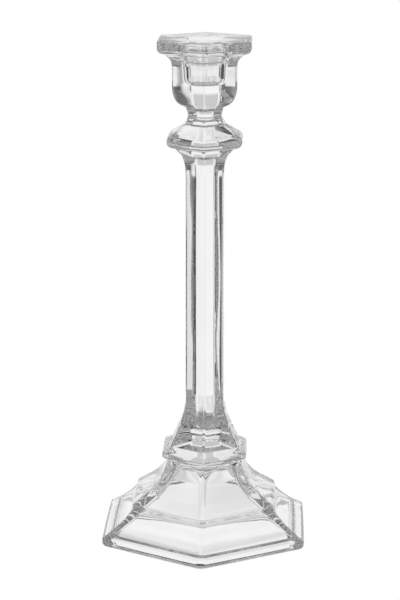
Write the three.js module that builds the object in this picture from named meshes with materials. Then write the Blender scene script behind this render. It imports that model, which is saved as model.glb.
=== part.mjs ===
// Glass candlestick, hexagonal in section, in seven fused pieces stacked on one upright axis.
// Millimetres, +Z up, origin at the centre of the base. One corner of each hexagon points along -Y.
//
// Every piece is turned from an outline of (reach, height) points. A reach is the hexagon's
// distance to a corner before the corner is rounded, or the true radius where the section is
// round. The pieces meet on flat level planes, where both have the same section. A bend is the
// point that a curve of an outline is drawn towards.
import * as THREE from 'three';

// Heights of the planes where one piece is fused to the next
const FOOT_TOP = 53;
const COLLAR_TOP = 61;
const STEM_TOP = 256;
const MERESE_TOP = 260.5;
const KNOP_TOP = 275;
const WAFER_TOP = 278;
const RIM_TOP = 330;

// Corner reach of the hexagon on those planes
const FOOT_TOP_REACH = 28.6;
const COLLAR_TOP_REACH = 26;
const STEM_TOP_REACH = 17.6;
const MERESE_TOP_REACH = 22;
const KNOP_TOP_REACH = 15;
const WAFER_TOP_REACH = 13.4;

// Foot: an upright band, the lower tier's slope, a riser and the upper tier's slope
const FOOT_REACH = 77.2;
const FOOT_EDGE = 1.2;
const FOOT_BAND = 3.4;
const BAND_BEND = [FOOT_REACH, 5];
const BAND_SHOULDER = [FOOT_REACH - 2, 5.7];
const LOWER_SLOPE_BEND = [62.5, 12];
const RISER_BOTTOM = [55, 20.8];
const RISER_TOP = [54.4, 23.8];
const TIER_BEND = [54.3, 25];
const TIER_EDGE = [53.2, 25];
const UPPER_SLOPE_BENDS = [43, 32.2, 31.5, 35.4];

// The hollow under the foot, from its round roof down to its hexagonal mouth
const HOLLOW_TOP = 51.6;
const ROOF_EDGE = [19.5, HOLLOW_TOP];
const ROOF_BEND = [22.4, HOLLOW_TOP];
const HOLLOW_NECK = [22.6, 48.5];
const HOLLOW_NECK_BEND = [24.5, 33];
const HOLLOW_SHOULDER = [34.6, 24.4];
const HOLLOW_SKIRT = [61, 8];
const LIP_BEND = [65, 5.8];
const HOLLOW_LIP = [65.5, 3];
const ROUND_FROM = 38; // the hollow is a hexagon up to this height
const ROUND_ABOVE = 47; // and round above this one

// Collar, with heights above its lower plane
const COLLAR_WIDEST = [32.5, 2.4];
const COLLAR_LOWER_BEND = [32.3, 0.2];
const COLLAR_UPPER_BEND = [32.6, 5.4];
const COLLAR_SHOULDER = [29.9, 6.2];

// Stem: a flare, a long shaft and a smaller flare at the top
const FLARE_BENDS = [22, 9, 16.2, 17];
const SHAFT_BOTTOM = [14.7, 30];
const SHAFT_REACH = 14.4;
const TOP_FLARE = 16; // length of the upper flare
const TOP_FLARE_BEND = 5; // distance of its bend below the top

// Merese, knop and wafer, with heights above the lower plane of each
const MERESE_BEND = [20, 2.2];
const KNOP_WIDEST = [28.3, 5];
const KNOP_LOWER_BEND = [28.5, 0.6];
const KNOP_UPPER_BEND = [28.3, 7.8];
const KNOP_SHOULDER = [24.2, 9.4];
const WAFER_SWELL = 0.4;

// Candle cup, with heights above its lower plane
const NECK_BEND = [11.4, 4.5];
const BOWL_BOTTOM = [15.2, 9.2];
const BOWL_LOWER_BEND = [23.9, 11.6];
const BOWL_REACH = 24.2;
const BOWL_WALL_BOTTOM = 21.5;
const BOWL_WALL_TOP = 35;
const RIM_FLARE_BEND = [25, 41.6];
const RIM_UNDERSIDE = [31.8, 43.6];
const RIM_REACH = 34.8;
const RIM_LOWER_BEND = [RIM_REACH, 44.4];
const RIM_BAND_BOTTOM = 47.2;
const RIM_EDGE = 1.6; // rounding of the rim's upper edge

// The round socket for the candle
const SOCKET_MOUTH_RADIUS = 12.2;
const SOCKET_MOUTH_EDGE = 1;
const SOCKET_FLOOR_RADIUS = 10.6;
const SOCKET_DEPTH = 29.5;
const SOCKET_FLOOR_ROUNDING = 5.5;

// Section of the glass
const SIDES = 6;
const CORNER_STEPS = 4; // straight steps round one rounded corner
const CORNER_SHARE = 0.09; // corner radius as a share of the reach
const LEAST_CORNER = 3.3; // corner radius of the slim parts
const WIDEST_CORNER_SHARE = 0.3; // most of the reach that a corner radius takes
const HOLLOW_CORNER = 4; // corner radius of the hollow under the foot
const CURVE_STEPS = 5; // straight steps along one curve of an outline

const RING_STEPS = SIDES * (CORNER_STEPS + 1);
const SIDE_ANGLE = (2 * Math.PI) / SIDES;
const FLAT_SHARE = Math.cos(SIDE_ANGLE / 2); // across-flats half width of a hexagon of reach 1

const glass = (name) => new THREE.MeshStandardMaterial({
  name, color: 0xe6eeec, roughness: 0.04, metalness: 0, transparent: true, opacity: 0.35,
});

const hexagonal = () => 0;
const usualCorner = ({ x: reach }) => Math.max(CORNER_SHARE * reach, LEAST_CORNER);

// One step, from 0 to RING_STEPS - 1, round a hexagon with rounded corners
function hexagonPoint(step, reach, cornerRadius) {
  const corner = Math.floor(step / (CORNER_STEPS + 1));
  const turn = (step % (CORNER_STEPS + 1)) / CORNER_STEPS - 0.5;
  const cornerAngle = corner * SIDE_ANGLE - Math.PI / 2;
  const arcAngle = cornerAngle + turn * SIDE_ANGLE;
  const arcRadius = Math.min(cornerRadius, WIDEST_CORNER_SHARE * reach);
  const arcCentre = reach - arcRadius / FLAT_SHARE;
  return new THREE.Vector2(
    arcCentre * Math.cos(cornerAngle) + arcRadius * Math.cos(arcAngle),
    arcCentre * Math.sin(cornerAngle) + arcRadius * Math.sin(arcAngle),
  );
}

// The same step round a circle
function circlePoint(step, radius) {
  const angle = ((step - CORNER_STEPS / 2) / RING_STEPS) * 2 * Math.PI - Math.PI / 2;
  return new THREE.Vector2(radius * Math.cos(angle), radius * Math.sin(angle));
}

// Turns an outline into a closed solid. It runs from the axis back to the axis, or closes on
// itself. roundness(index) is 0 where the section is a hexagon and 1 where it is a circle, and
// corner(point, index) is the radius of the hexagon's corners.
function turned(outline, roundness, corner) {
  const geometry = new THREE.LatheGeometry(outline, RING_STEPS);
  const position = geometry.attributes.position;
  for (let turn = 0; turn <= RING_STEPS; turn++) {
    const step = turn % RING_STEPS;
    outline.forEach((point, index) => {
      const hexagon = hexagonPoint(step, point.x, corner(point, index));
      const section = hexagon.lerp(circlePoint(step, point.x), roundness(index));
      position.setXYZ(turn * outline.length + index, section.x, section.y, point.y);
    });
  }
  geometry.computeVertexNormals();
  return geometry;
}

// A named piece whose outline is drawn with heights above its own lower plane
function piece(name, lowerPlane, outline, roundness = hexagonal, corner = usualCorner) {
  const mesh = new THREE.Mesh(turned(outline, roundness, corner), glass(name));
  mesh.name = name;
  mesh.position.z = lowerPlane;
  return mesh;
}

function makeFoot() {
  const underside = new THREE.Path();
  underside.moveTo(0, HOLLOW_TOP);
  underside.lineTo(...ROOF_EDGE);
  underside.quadraticCurveTo(...ROOF_BEND, ...HOLLOW_NECK);
  underside.quadraticCurveTo(...HOLLOW_NECK_BEND, ...HOLLOW_SHOULDER);
  underside.lineTo(...HOLLOW_SKIRT);
  underside.quadraticCurveTo(...LIP_BEND, ...HOLLOW_LIP);
  underside.lineTo(HOLLOW_LIP[0], 0);
  const hollow = underside.getPoints(CURVE_STEPS);

  const outside = new THREE.Path();
  outside.moveTo(FOOT_REACH - FOOT_EDGE, 0);
  outside.quadraticCurveTo(FOOT_REACH, 0, FOOT_REACH, FOOT_EDGE);
  outside.lineTo(FOOT_REACH, FOOT_BAND);
  outside.quadraticCurveTo(...BAND_BEND, ...BAND_SHOULDER);
  outside.quadraticCurveTo(...LOWER_SLOPE_BEND, ...RISER_BOTTOM);
  outside.lineTo(...RISER_TOP);
  outside.quadraticCurveTo(...TIER_BEND, ...TIER_EDGE);
  outside.bezierCurveTo(...UPPER_SLOPE_BENDS, FOOT_TOP_REACH, FOOT_TOP);
  outside.lineTo(0, FOOT_TOP);

  const outline = [...hollow, ...outside.getPoints(CURVE_STEPS)];
  const rounded = ({ y: height }) => (height - ROUND_FROM) / (ROUND_ABOVE - ROUND_FROM);
  const roundness = (index) => (index < hollow.length ? THREE.MathUtils.clamp(rounded(outline[index]), 0, 1) : 0);
  const corner = (point, index) => (index < hollow.length ? HOLLOW_CORNER : usualCorner(point));
  return piece('foot', 0, outline, roundness, corner);
}

function makeCollar() {
  const height = COLLAR_TOP - FOOT_TOP;
  const outline = new THREE.Path();
  outline.moveTo(0, 0);
  outline.lineTo(FOOT_TOP_REACH, 0);
  outline.quadraticCurveTo(...COLLAR_LOWER_BEND, ...COLLAR_WIDEST);
  outline.quadraticCurveTo(...COLLAR_UPPER_BEND, ...COLLAR_SHOULDER);
  outline.lineTo(COLLAR_TOP_REACH, height);
  outline.lineTo(0, height);
  return piece('foot_collar', FOOT_TOP, outline.getPoints(CURVE_STEPS));
}

function makeStem() {
  const height = STEM_TOP - COLLAR_TOP;
  const outline = new THREE.Path();
  outline.moveTo(0, 0);
  outline.lineTo(COLLAR_TOP_REACH, 0);
  outline.bezierCurveTo(...FLARE_BENDS, ...SHAFT_BOTTOM);
  outline.lineTo(SHAFT_REACH, height - TOP_FLARE);
  outline.quadraticCurveTo(SHAFT_REACH, height - TOP_FLARE_BEND, STEM_TOP_REACH, height);
  outline.lineTo(0, height);
  return piece('stem', COLLAR_TOP, outline.getPoints(CURVE_STEPS));
}

function makeMerese() {
  const height = MERESE_TOP - STEM_TOP;
  const outline = new THREE.Path();
  outline.moveTo(0, 0);
  outline.lineTo(STEM_TOP_REACH, 0);
  outline.quadraticCurveTo(...MERESE_BEND, MERESE_TOP_REACH, height);
  outline.lineTo(0, height);
  return piece('knop_merese', STEM_TOP, outline.getPoints(CURVE_STEPS));
}

function makeKnop() {
  const height = KNOP_TOP - MERESE_TOP;
  const outline = new THREE.Path();
  outline.moveTo(0, 0);
  outline.lineTo(MERESE_TOP_REACH, 0);
  outline.quadraticCurveTo(...KNOP_LOWER_BEND, ...KNOP_WIDEST);
  outline.quadraticCurveTo(...KNOP_UPPER_BEND, ...KNOP_SHOULDER);
  outline.lineTo(KNOP_TOP_REACH, height);
  outline.lineTo(0, height);
  return piece('knop', MERESE_TOP, outline.getPoints(CURVE_STEPS));
}

function makeWafer() {
  const height = WAFER_TOP - KNOP_TOP;
  const outline = new THREE.Path();
  outline.moveTo(0, 0);
  outline.lineTo(KNOP_TOP_REACH, 0);
  outline.quadraticCurveTo(KNOP_TOP_REACH + WAFER_SWELL, height / 2, WAFER_TOP_REACH, height);
  outline.lineTo(0, height);
  return piece('neck_wafer', KNOP_TOP, outline.getPoints(CURVE_STEPS));
}

function makeCandleCup() {
  const height = RIM_TOP - WAFER_TOP;
  const outside = new THREE.Path();
  outside.moveTo(0, 0);
  outside.lineTo(WAFER_TOP_REACH, 0);
  outside.quadraticCurveTo(...NECK_BEND, ...BOWL_BOTTOM);
  outside.quadraticCurveTo(...BOWL_LOWER_BEND, BOWL_REACH, BOWL_WALL_BOTTOM);
  outside.lineTo(BOWL_REACH, BOWL_WALL_TOP);
  outside.quadraticCurveTo(...RIM_FLARE_BEND, ...RIM_UNDERSIDE);
  outside.quadraticCurveTo(...RIM_LOWER_BEND, RIM_REACH, RIM_BAND_BOTTOM);
  outside.lineTo(RIM_REACH, height - RIM_EDGE);
  outside.quadraticCurveTo(RIM_REACH, height, RIM_REACH - RIM_EDGE, height);
  const cup = outside.getPoints(CURVE_STEPS);

  const floor = height - SOCKET_DEPTH;
  const floorEdge = SOCKET_FLOOR_RADIUS - SOCKET_FLOOR_ROUNDING;
  const inside = new THREE.Path();
  inside.moveTo(SOCKET_MOUTH_RADIUS + SOCKET_MOUTH_EDGE, height);
  inside.quadraticCurveTo(SOCKET_MOUTH_RADIUS, height, SOCKET_MOUTH_RADIUS, height - SOCKET_MOUTH_EDGE);
  inside.lineTo(SOCKET_FLOOR_RADIUS, floor + SOCKET_FLOOR_ROUNDING);
  inside.quadraticCurveTo(SOCKET_FLOOR_RADIUS, floor, floorEdge, floor);
  inside.lineTo(0, floor);
  const outline = [...cup, ...inside.getPoints(CURVE_STEPS)];
  return piece('candle_cup', WAFER_TOP, outline, (index) => (index < cup.length ? 0 : 1));
}

const candlestick = new THREE.Group();
candlestick.add(makeFoot(), makeCollar(), makeStem(), makeMerese(), makeKnop(), makeWafer(), makeCandleCup());

export default candlestick;
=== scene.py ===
import math

import bpy
import numpy as np
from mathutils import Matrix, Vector, noise


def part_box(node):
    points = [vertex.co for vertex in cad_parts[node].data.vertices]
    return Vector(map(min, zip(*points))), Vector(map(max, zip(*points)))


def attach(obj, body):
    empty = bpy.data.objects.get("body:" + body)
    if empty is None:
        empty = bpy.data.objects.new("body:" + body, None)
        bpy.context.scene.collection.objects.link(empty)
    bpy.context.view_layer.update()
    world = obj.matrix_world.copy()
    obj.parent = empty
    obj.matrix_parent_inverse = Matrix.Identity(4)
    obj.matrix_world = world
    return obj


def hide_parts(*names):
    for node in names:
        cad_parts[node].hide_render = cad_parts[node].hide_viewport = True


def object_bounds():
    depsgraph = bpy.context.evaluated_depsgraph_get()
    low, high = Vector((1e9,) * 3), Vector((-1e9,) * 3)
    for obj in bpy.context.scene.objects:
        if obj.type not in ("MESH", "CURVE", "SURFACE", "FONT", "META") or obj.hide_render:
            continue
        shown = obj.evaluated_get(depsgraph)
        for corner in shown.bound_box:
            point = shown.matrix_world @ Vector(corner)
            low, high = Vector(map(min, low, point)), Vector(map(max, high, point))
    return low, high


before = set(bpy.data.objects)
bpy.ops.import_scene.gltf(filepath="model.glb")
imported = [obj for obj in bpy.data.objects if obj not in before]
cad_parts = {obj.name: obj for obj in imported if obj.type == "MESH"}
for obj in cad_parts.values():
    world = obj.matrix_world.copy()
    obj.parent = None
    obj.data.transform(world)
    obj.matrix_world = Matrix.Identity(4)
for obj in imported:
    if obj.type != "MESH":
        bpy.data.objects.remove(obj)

MM = 0.001  # metres
SIDES = 6
FLAT_SHARE = math.cos(math.pi / SIDES)  # from the axis to a flat of a hexagon of reach 1
CORNER_SHARE = 0.09  # corner radius as a share of the reach, for the wide parts
CORNER_RADIUS = 3.3  # mm, the least corner radius of the slim parts
WIDEST_SHARE = 0.3  # but never more of the reach than this
HOLLOW_CORNER = 4  # mm, the corner radius of the foot's hollow
FACE_SWELL = 0.25  # mm that each face of the hexagon swells in its middle
SWELL_SHARE = 0.009  # but never more of the reach than this
RIPPLE_DEPTH = 0.1  # mm
RIPPLE_WIDTH = 9  # mm across one ripple
RIPPLE_LENGTH = 32  # mm along one ripple
RIPPLE_FADE = 6  # mm near a joint where the ripples fade away
CORNER_STEPS = 12  # faces round one corner of the hexagon
FLAT_STEPS = 14  # faces across one of its flats
OUTLINE_STEP = 0.45  # mm between points along an outline
EDGE_SMOOTHING = 5  # passes that round the outline's small corners
TIP = 0.3  # mm, the reach where a closed outline starts or ends beside the axis

GLASS_IOR = 1.54
CLEAR_TINT = (0.975, 0.976, 0.975, 1)
GREY_TINT = (0.955, 0.958, 0.958, 1)
TINT_PATCH = 0.03  # metres across one patch, as are the two below
HAZE_PATCH = 0.02
PEEL_PATCH = 0.007
FINE_PEEL, COARSE_PEEL = 0.000004, 0.000012  # metres
CLEAN_HAZE, RUBBED_HAZE = 0.01, 0.03  # roughness
CLOUD_LOW, CLOUD_HIGH = 0.35, 0.7  # the span of the noise that a cloud uses

# The studio's light walls and dark gaps: tones by direction, in degrees from +Y towards +X. Clear
# glass has no shade of its own, so its dark lines are the dark gaps seen through its facets.
UNDER_LIGHT = ((-180, 0.35), (180, 0.35))
FLOOR_LIGHT = (
    (-180, 0.75), (-150, 0.7), (-138, 0.38), (-60, 0.38), (-48, 0.9), (-24, 0.8), (-12, 0.7), (-5, 0.95),
    (2, 0.8), (9, 1), (48, 0.9), (60, 0.38), (138, 0.38), (150, 0.7), (180, 0.75),
)
LOW_LIGHT = (
    (-180, 0.04), (-149, 0.04), (-145, 0.9), (-127, 0.9), (-123, 0.04), (-64, 0.04), (-60, 0.95),
    (-38, 0.95), (-36, 0.04), (-32, 0.04), (-26, 1), (28, 1), (34, 0.04), (112, 0.04), (117, 0.9),
    (146, 0.9), (151, 0.04), (180, 0.04),
)
LEVEL_LIGHT = (
    (-180, 0.04), (-158, 0.04), (-153, 0.9), (-74, 0.9), (-68, 0.04), (-50, 0.04), (-44, 1),
    (-40, 1), (-37, 0.04), (-31, 0.04), (-28, 1), (28, 1), (31, 0.04), (37, 0.04), (40, 1), (44, 1),
    (50, 0.04), (100, 0.04), (105, 0.95), (150, 0.95), (155, 0.04), (180, 0.04),
)
HIGH_LIGHT = (
    (-180, 0.12), (-120, 0.15), (-112, 0.4), (-52, 0.4), (-44, 0.95), (-20, 0.95), (-16, 0.65),
    (8, 0.65), (12, 0.95), (44, 0.95), (52, 0.4), (112, 0.4), (120, 0.15), (180, 0.12),
)
# Each band's tones, and the heights (the sine of the elevation) where it fades in over the last.
BANDS = (
    (FLOOR_LIGHT, -0.86, -0.72),
    (LOW_LIGHT, -0.35, -0.31),
    (LEVEL_LIGHT, -0.19, -0.13),
    (HIGH_LIGHT, 0.03, 0.12),
)

cad_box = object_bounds()


def lower(node):
    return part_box(node)[0][2] / MM


def upper(node):
    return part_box(node)[1][2] / MM


def reach(node):
    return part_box(node)[1][0] / MM / FLAT_SHARE


class Outline:
    """A path of (reach, height) points built from straight lines and curves, in mm."""

    def __init__(self, r, z):
        self.points = [np.array((r, z), float)]

    def line(self, r, z):
        return self.curve((r, z))

    def curve(self, *controls):
        """A straight line, or a quadratic or cubic curve, that ends at the last control point."""
        knots = [self.points[-1], *[np.array(c, float) for c in controls]]
        length = sum(np.linalg.norm(b - a) for a, b in zip(knots, knots[1:]))
        steps = max(1, round(length / OUTLINE_STEP))
        for step in range(1, steps + 1):
            ladder = knots
            while len(ladder) > 1:
                ladder = [a + (b - a) * step / steps for a, b in zip(ladder, ladder[1:])]
            self.points.append(ladder[0])
        return self

    def smooth(self):
        """The points with their small corners eased and both ends kept."""
        points = np.array(self.points)
        for _ in range(EDGE_SMOOTHING):
            points[1:-1] = (points[:-2] + 2 * points[1:-1] + points[2:]) / 4
        return points


def corner_radius(reach):
    return max(CORNER_SHARE * reach, CORNER_RADIUS)


def hexagon_section(reach, rounding):
    """A rounded hexagon of a reach in mm, with a corner towards -Y and slightly swollen faces."""
    rounding = min(rounding, WIDEST_SHARE * reach)
    swell = min(FACE_SWELL, SWELL_SHARE * reach)
    flat = reach * FLAT_SHARE - rounding - swell
    side_angle = 2 * math.pi / SIDES
    half_flat = flat / FLAT_SHARE / 2
    lean = 2 * swell / half_flat
    turns = np.linspace(lean - side_angle / 2, side_angle / 2 - lean, CORNER_STEPS + 1)
    across = np.arange(1, FLAT_STEPS) / FLAT_STEPS * 2 - 1
    points = []
    for side in range(SIDES):
        corner = side * side_angle - math.pi / 2
        centre = np.array((math.cos(corner), math.sin(corner))) * flat / FLAT_SHARE
        points.extend(centre + rounding * np.stack([np.cos(corner + turns), np.sin(corner + turns)], 1))
        middle = corner + side_angle / 2
        outward = np.array((math.cos(middle), math.sin(middle)))
        along = np.array((-math.sin(middle), math.cos(middle)))
        bow = flat + rounding + swell * (1 - across ** 2)
        points.extend(outward * bow[:, None] + along * (half_flat * across)[:, None])
    return np.array(points)


RING = len(hexagon_section(1, WIDEST_SHARE))
RING_ANGLES = np.unwrap(np.arctan2(*hexagon_section(1, WIDEST_SHARE).T[::-1]))
CIRCLE = np.stack([np.cos(RING_ANGLES), np.sin(RING_ANGLES)], 1)


def ripple(points):
    """The unevenness that pressing leaves in glass, in mm along each point's own outward way."""
    patch = np.array((RIPPLE_WIDTH, RIPPLE_WIDTH, RIPPLE_LENGTH))
    waves = [noise.noise(Vector(place)) for place in points / patch]
    return np.array(waves) * RIPPLE_DEPTH


def turned(name, node, outline, roundness, caps, rounding=None):
    """A closed mesh turned from outline, whose first and last points are closed by level caps.

    roundness is 0 where the section is a hexagon and 1 where it is round, one value a point.
    caps says which of the two ends are fused joints, which get the second material.
    rounding is the radius of the hexagon's corners, one value a point, if it isn't the usual one.
    """
    if rounding is None:
        rounding = [corner_radius(r) for r, _ in outline]
    rings = []
    for (r, z), share, corner in zip(outline, roundness, rounding):
        section = hexagon_section(r, corner) * (1 - share) + CIRCLE * r * share
        rings.append(np.column_stack([section, np.full(RING, z)]))
    verts = np.concatenate(rings)
    ways = verts[:, :2] / np.linalg.norm(verts[:, :2], axis=1)[:, None]
    heights = verts[:, 2]
    to_joint = np.minimum(heights - heights.min(), heights.max() - heights)
    fade = np.clip(to_joint / RIPPLE_FADE, 0, 1)
    verts[:, :2] += ways * ((ripple(verts) - RIPPLE_DEPTH) * fade)[:, None]
    verts *= MM
    faces = []
    for row in range(len(outline) - 1):
        for step in range(RING):
            a, b = row * RING + step, row * RING + (step + 1) % RING
            faces.append((a, b, b + RING, a + RING))
    sides = len(faces)
    ends = [list(range(RING))[::-1], [(len(outline) - 1) * RING + step for step in range(RING)]]
    for end in ends:
        centre = len(verts)
        verts = np.vstack([verts, verts[end].mean(0)])
        faces.extend((end[step - 1], end[step], centre) for step in range(RING))
    mesh = bpy.data.meshes.new(name)
    mesh.from_pydata([tuple(v) for v in verts], [], faces)
    smooth = np.ones(len(faces), bool)
    slots = np.zeros(len(faces), int)
    for end, fused in enumerate(caps):
        span = slice(sides + end * RING, sides + (end + 1) * RING)
        if fused:
            slots[span] = 1
            smooth[span] = False
    mesh.polygons.foreach_set("use_smooth", smooth)
    mesh.polygons.foreach_set("material_index", slots)
    mesh.update()
    mark_cap_edges(mesh)
    piece = bpy.data.objects.new(name, mesh)
    bpy.context.scene.collection.objects.link(piece)
    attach(piece, "root")
    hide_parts(node)
    return piece


def mark_cap_edges(mesh):
    """Sharp edges where a flat cap meets the side, so that the side's shading stays clean."""
    flat_count = {}
    for polygon in mesh.polygons:
        for key in polygon.edge_keys:
            flat_count[key] = flat_count.get(key, 0) + (0 if polygon.use_smooth else 1)
    for edge in mesh.edges:
        if flat_count[edge.key] == 1:
            edge.use_edge_sharp = True


def hexagonal(outline):
    points = outline.smooth()
    return points, np.zeros(len(points))


def make_foot():
    top, foot_reach, rest = upper("foot"), reach("foot"), lower("foot")
    tier_reach, tier_top, hollow_reach, hollow_top = 55, 25, 65.5, 51.6
    hollow = Outline(TIP, hollow_top).line(19.5, hollow_top).curve((22.4, hollow_top), (22.6, 48.5))
    hollow.curve((24.5, 33), (34.6, 24.4)).line(61, 8)
    hollow.curve((65, 5.8), (hollow_reach, 3))
    hollow.line(hollow_reach, rest)
    inside = hollow.smooth()
    outer = Outline(foot_reach - 1.2, rest).curve((foot_reach - 0.2, rest), (foot_reach, 1.2))
    outer.line(foot_reach, 3.4).curve((foot_reach, 5), (foot_reach - 2, 5.7))
    outer.curve((62.5, 12), (tier_reach, 20.8)).line(tier_reach - 0.6, tier_top - 1.2)
    outer.curve((tier_reach - 0.7, tier_top), (tier_reach - 1.8, tier_top))
    outer.curve((43, 32.2), (31.5, 35.4), (28.6, top))
    outside = outer.smooth()
    points = np.concatenate([inside, outside])
    hexagon_top, round_from = 38, 47  # the hollow turns from a hexagon to a circle between them
    share = np.clip((inside[:, 1] - hexagon_top) / (round_from - hexagon_top), 0, 1)
    roundness = np.concatenate([share, np.zeros(len(outside))])
    rounding = [HOLLOW_CORNER] * len(inside) + [corner_radius(r) for r, _ in outside]
    return turned("foot_glass", "foot", points, roundness, (False, True), rounding)


def make_collar():
    base, top, widest = lower("foot_collar"), upper("foot_collar"), reach("foot_collar")
    outline = Outline(28.6, base).curve((widest - 0.2, base + 0.2), (widest, base + 2.4))
    outline.curve((widest + 0.1, base + 5.4), (widest - 2.6, base + 6.2)).line(26, top)
    return turned("collar_glass", "foot_collar", *hexagonal(outline), (True, True))


def make_stem():
    base, top = lower("stem"), upper("stem")
    outline = Outline(26, base).curve((22, base + 9), (16.2, base + 17), (14.7, base + 30))
    outline.line(14.4, top - 16).curve((14.4, top - 5), (17.6, top))
    return turned("stem_glass", "stem", *hexagonal(outline), (True, True))


def make_merese():
    base, top = lower("knop_merese"), upper("knop_merese")
    outline = Outline(17.6, base).curve((20, base + 2.2), (22, top))
    return turned("merese_glass", "knop_merese", *hexagonal(outline), (True, True))


def make_knop():
    base, top, widest = lower("knop"), upper("knop"), reach("knop")
    outline = Outline(22, base).curve((widest + 0.2, base + 0.6), (widest, base + 5))
    outline.curve((widest, base + 7.8), (24.2, base + 9.4)).line(15, top)
    return turned("knop_glass", "knop", *hexagonal(outline), (True, True))


def make_wafer():
    base, top = lower("neck_wafer"), upper("neck_wafer")
    outline = Outline(15, base).curve((15.4, (base + top) / 2), (13.4, top))
    return turned("wafer_glass", "neck_wafer", *hexagonal(outline), (True, True))


def make_candle_cup():
    base, top, rim = lower("candle_cup"), upper("candle_cup"), reach("candle_cup")
    neck, bowl = 12.4, 24.2
    outer = Outline(13.4, base).curve((neck - 1, base + 4.5), (15.2, base + 9.2))
    outer.curve((bowl - 0.3, base + 11.6), (bowl, base + 21.5)).line(bowl, base + 35)
    outer.curve((bowl + 0.8, base + 41.6), (rim - 3, base + 43.6))
    outer.curve((rim, base + 44.4), (rim, top - 4.8))
    outer.line(rim, top - 1.4).curve((rim, top), (rim - 1.6, top))
    mouth, seat_radius, seat, rounding = 12.2, 10.6, top - 29.5, 5.5
    socket = Outline(mouth + 1, top).curve((mouth, top), (mouth, top - 1))
    socket.line(seat_radius, seat + rounding)
    socket.curve((seat_radius, seat), (seat_radius - rounding, seat)).line(TIP, seat)
    outside, inside = outer.smooth(), socket.smooth()
    points = np.concatenate([outside, inside])
    roundness = np.concatenate([np.zeros(len(outside)), np.ones(len(inside))])
    return turned("cup_glass", "candle_cup", points, roundness, (True, False))


def cloud(tree, coords, size, low, high):
    """A soft value from low to high that wanders over patches of a size in metres."""
    noise_node = tree.nodes.new("ShaderNodeTexNoise")
    noise_node.inputs["Scale"].default_value = 1 / size
    noise_node.inputs["Detail"].default_value = 2
    tree.links.new(coords, noise_node.inputs["Vector"])
    spread = tree.nodes.new("ShaderNodeMapRange")
    spread.inputs["From Min"].default_value = CLOUD_LOW
    spread.inputs["From Max"].default_value = CLOUD_HIGH
    spread.inputs["To Min"].default_value = low
    spread.inputs["To Max"].default_value = high
    tree.links.new(noise_node.outputs["Fac"], spread.inputs["Value"])
    return spread.outputs["Result"]


def glass_material(name, peel, haze):
    """Clear pressed glass: a wandering grey tint, a slight peel in its skin and a film of haze.

    peel is the height in metres of the skin's unevenness, and haze is the most roughness it has.
    """
    material = bpy.data.materials.new(name)
    material.use_nodes = True
    tree = material.node_tree
    tree.nodes.clear()
    out = tree.nodes.new("ShaderNodeOutputMaterial")
    glass = tree.nodes.new("ShaderNodeBsdfGlass")
    glass.inputs["IOR"].default_value = GLASS_IOR
    coords = tree.nodes.new("ShaderNodeTexCoord").outputs["Object"]
    tint = tree.nodes.new("ShaderNodeMix")
    tint.data_type = "RGBA"
    tint.inputs["A"].default_value = CLEAR_TINT
    tint.inputs["B"].default_value = GREY_TINT
    tree.links.new(cloud(tree, coords, TINT_PATCH, 0, 1), tint.inputs["Factor"])
    tree.links.new(tint.outputs["Result"], glass.inputs["Color"])
    tree.links.new(cloud(tree, coords, HAZE_PATCH, 0, haze), glass.inputs["Roughness"])
    skin = tree.nodes.new("ShaderNodeBump")
    skin.inputs["Distance"].default_value = peel
    tree.links.new(cloud(tree, coords, PEEL_PATCH, 0, 1), skin.inputs["Height"])
    tree.links.new(skin.outputs["Normal"], glass.inputs["Normal"])
    tree.links.new(glass.outputs[0], out.inputs["Surface"])
    return material


def seam_material():
    """The fused joint between two pieces, which light passes straight through."""
    material = bpy.data.materials.new("fused_seam")
    material.use_nodes = True
    nodes, links = material.node_tree.nodes, material.node_tree.links
    nodes.clear()
    out = nodes.new("ShaderNodeOutputMaterial")
    clear = nodes.new("ShaderNodeBsdfTransparent")
    links.new(clear.outputs[0], out.inputs["Surface"])
    return material


def make_pieces():
    seam = seam_material()
    finishes = {
        make_foot: ("foot_glass", FINE_PEEL, RUBBED_HAZE),
        make_collar: ("collar_glass", COARSE_PEEL, CLEAN_HAZE),
        make_stem: ("stem_glass", FINE_PEEL, CLEAN_HAZE),
        make_merese: ("merese_glass", COARSE_PEEL, CLEAN_HAZE),
        make_knop: ("knop_glass", COARSE_PEEL, CLEAN_HAZE),
        make_wafer: ("wafer_glass", COARSE_PEEL, CLEAN_HAZE),
        make_candle_cup: ("cup_glass", FINE_PEEL, CLEAN_HAZE),
    }
    for make, (slot, peel, haze) in finishes.items():
        piece = make()
        piece.data.materials.append(glass_material(slot, peel, haze))
        piece.data.materials.append(seam)


def glow_material(name):
    """A white material that glows evenly."""
    material = bpy.data.materials.new(name)
    material.use_nodes = True
    nodes, links = material.node_tree.nodes, material.node_tree.links
    nodes.clear()
    out = nodes.new("ShaderNodeOutputMaterial")
    glow = nodes.new("ShaderNodeEmission")
    glow.inputs["Color"].default_value = (1, 1, 1, 1)
    glow.inputs["Strength"].default_value = 1
    links.new(glow.outputs[0], out.inputs["Surface"])
    return material


def make_floor():
    """A pale floor just under the foot's rim, that turns up into a pale wall far away."""
    steps, radius, gap, wall = 96, 12, 0.0005, 4
    verts = []
    for z in (-gap, wall):
        for step in range(steps):
            turn = 2 * math.pi * step / steps
            verts.append((radius * math.cos(turn), radius * math.sin(turn), z))
    faces = [tuple(range(steps))]
    for step in range(steps):
        following = (step + 1) % steps
        faces.append((step, following, following + steps, step + steps))
    mesh = bpy.data.meshes.new("floor")
    mesh.from_pydata(verts, [], faces)
    mesh.materials.append(glow_material("pale_floor"))
    floor = bpy.data.objects.new("floor", mesh)
    bpy.context.scene.collection.objects.link(floor)
    for kind in ("diffuse", "glossy", "transmission", "shadow"):
        setattr(floor, f"visible_{kind}", False)


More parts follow.
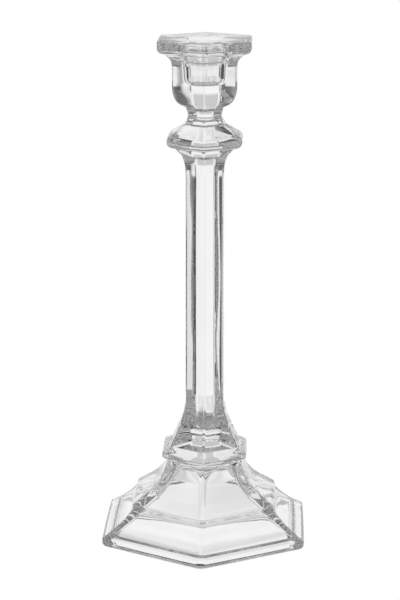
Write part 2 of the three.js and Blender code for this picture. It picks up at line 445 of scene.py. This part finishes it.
def tones(tree, factor, stops):
    """A ramp of greys over directions in degrees, read by a factor that runs from 0 to 1."""
    ramp = tree.nodes.new("ShaderNodeValToRGB")
    elements = ramp.color_ramp.elements
    while len(elements) < len(stops):
        elements.new(1)
    for element, (direction, tone) in zip(elements, stops):
        element.position = (direction + 180) / 360
        element.color = (tone, tone, tone, 1)
    tree.links.new(factor, ramp.inputs["Fac"])
    return ramp.outputs["Color"]


def ease(tree, value, start, end):
    """0 below start, 1 above end, and soft in between."""
    ease_node = tree.nodes.new("ShaderNodeMapRange")
    ease_node.interpolation_type = "SMOOTHSTEP"
    ease_node.inputs["From Min"].default_value = start
    ease_node.inputs["From Max"].default_value = end
    tree.links.new(value, ease_node.inputs["Value"])
    return ease_node.outputs["Result"]


def blend(tree, factor, low, high):
    mix = tree.nodes.new("ShaderNodeMix")
    mix.data_type = "RGBA"
    tree.links.new(factor, mix.inputs["Factor"])
    tree.links.new(low, mix.inputs["A"])
    tree.links.new(high, mix.inputs["B"])
    return mix.outputs["Result"]


def make_world():
    """The studio's light by direction: five bands from straight below to straight above."""
    world = bpy.data.worlds.new("studio")
    bpy.context.scene.world = world
    world.use_nodes = True
    tree = world.node_tree
    tree.nodes.clear()
    out = tree.nodes.new("ShaderNodeOutputWorld")
    back = tree.nodes.new("ShaderNodeBackground")
    tree.links.new(back.outputs[0], out.inputs["Surface"])
    coords = tree.nodes.new("ShaderNodeTexCoord")
    split = tree.nodes.new("ShaderNodeSeparateXYZ")
    tree.links.new(coords.outputs["Generated"], split.inputs[0])
    turn = tree.nodes.new("ShaderNodeMath")
    turn.operation = "ARCTAN2"
    tree.links.new(split.outputs["X"], turn.inputs[0])
    tree.links.new(split.outputs["Y"], turn.inputs[1])
    round_way = tree.nodes.new("ShaderNodeMapRange")
    round_way.inputs["From Min"].default_value = -math.pi
    round_way.inputs["From Max"].default_value = math.pi
    tree.links.new(turn.outputs[0], round_way.inputs["Value"])
    way, height = round_way.outputs["Result"], split.outputs["Z"]
    light = tones(tree, way, UNDER_LIGHT)
    for stops, start, end in BANDS:
        light = blend(tree, ease(tree, height, start, end), light, tones(tree, way, stops))
    tree.links.new(light, back.inputs["Color"])


def make_camera():
    """The camera stands 1.22 m from the axis, 0.48 m above the floor, and looks down a little."""
    height = cad_box[1][2] - cad_box[0][2]
    distance, rise = 3.698 * height, 1.447 * height
    azimuth, pitch, yaw = math.radians(2.1), math.radians(14.66), math.radians(0.152)
    data = bpy.data.cameras.new("camera")
    data.sensor_width = 36
    data.lens = 115.3
    camera = bpy.data.objects.new("camera", data)
    camera.location = (distance * math.sin(azimuth), -distance * math.cos(azimuth), rise)
    camera.rotation_euler = (math.pi / 2 - pitch, 0, azimuth + yaw)
    data.clip_start, data.clip_end = 0.05, 60
    bpy.context.scene.collection.objects.link(camera)
    bpy.context.scene.camera = camera


def set_light_paths():
    """Enough bounces for light that turns many times inside the glass."""
    cycles = bpy.context.scene.cycles
    cycles.max_bounces = 48
    cycles.glossy_bounces = 48
    cycles.transmission_bounces = 48
    cycles.transparent_max_bounces = 64
    cycles.caustics_reflective = True
    cycles.caustics_refractive = True
    bpy.context.scene.view_settings.view_transform = "Standard"


make_pieces()
make_floor()
make_world()
make_camera()
set_light_paths()
